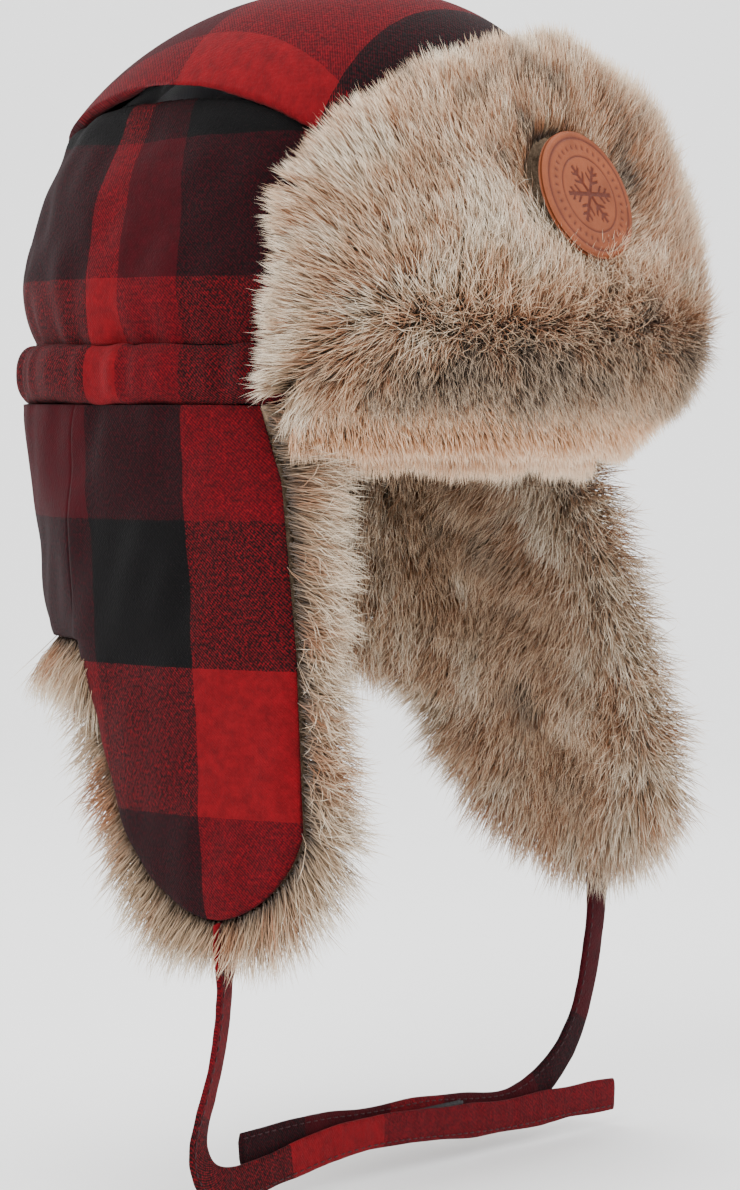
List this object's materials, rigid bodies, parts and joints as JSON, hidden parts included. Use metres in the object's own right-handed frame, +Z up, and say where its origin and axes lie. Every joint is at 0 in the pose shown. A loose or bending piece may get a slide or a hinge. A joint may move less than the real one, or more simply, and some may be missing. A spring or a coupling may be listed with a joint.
{
  "type": "trapper hat",
  "caption": "Trapper hat with a padded plaid crown, fur-lined nape and ear flaps with flat ties, and a turned-up fur front flap that bears a round leather badge.",
  "frame": {"origin": "centre of the head opening, level with the foot of the gathered roll", "axes": "+Z up through the crown, the wearer faces -Y, the wearer's right ear flap is at -X"},
  "size_m": [0.239, 0.2681, 0.4109],
  "materials": {
    "plaid_cloth": "napped wool twill in a red, maroon and black buffalo plaid",
    "faux_fur": "long grey-brown pile with cream tips, dark and rust patches",
    "wadding": "soft polyester wadding",
    "lining_cloth": "smooth black lining cloth",
    "elastic": "woven elastic",
    "interlining": "stiff non-woven interlining",
    "badge_leather": "tan leather with a dark debossed ring",
    "fastening_tape": "black hook and loop tape",
    "tack_thread": "dense maroon stitching"
  },
  "bodies": {
    "root": {"crown_top_panel": "plaid_cloth", "crown_side_panel_right": "plaid_cloth", "crown_side_panel_left": "plaid_cloth", "crown_wadding": "wadding", "crown_lining": "lining_cloth", "roll_casing": "plaid_cloth", "elastic_band": "elastic", "brow_fur_band": "faux_fur", "nape_shell": "plaid_cloth", "nape_wadding": "wadding", "nape_fur": "faux_fur"},
    "right_flap": {"right_flap_shell": "plaid_cloth", "right_flap_wadding": "wadding", "right_flap_fur": "faux_fur", "right_tie": "plaid_cloth", "right_tie_tack": "tack_thread", "right_hook_tape": "fastening_tape"},
    "left_flap": {"left_flap_shell": "plaid_cloth", "left_flap_wadding": "wadding", "left_flap_fur": "faux_fur", "left_tie": "plaid_cloth", "left_tie_tack": "tack_thread", "left_loop_tape": "fastening_tape"},
    "front_flap": {"front_flap_shell": "plaid_cloth", "front_flap_stiffener": "interlining", "front_flap_fur": "faux_fur", "leather_badge": "badge_leather"}
  },
  "joints": [
    {"name": "right_flap_fold", "type": "hinge", "parent": "root", "child": "right_flap", "pos_m": [-0.096, 0, -0.0005], "axis": [0, 1, 0], "range_deg": [0, 120]},
    {"name": "left_flap_fold", "type": "hinge", "parent": "root", "child": "left_flap", "pos_m": [0.096, 0, -0.0005], "axis": [0, -1, 0], "range_deg": [0, 120]},
    {"name": "front_flap_fold", "type": "hinge", "parent": "root", "child": "front_flap", "pos_m": [0, -0.112, -0.012], "axis": [1, 0, 0], "range_deg": [0, 110]}
  ]
}
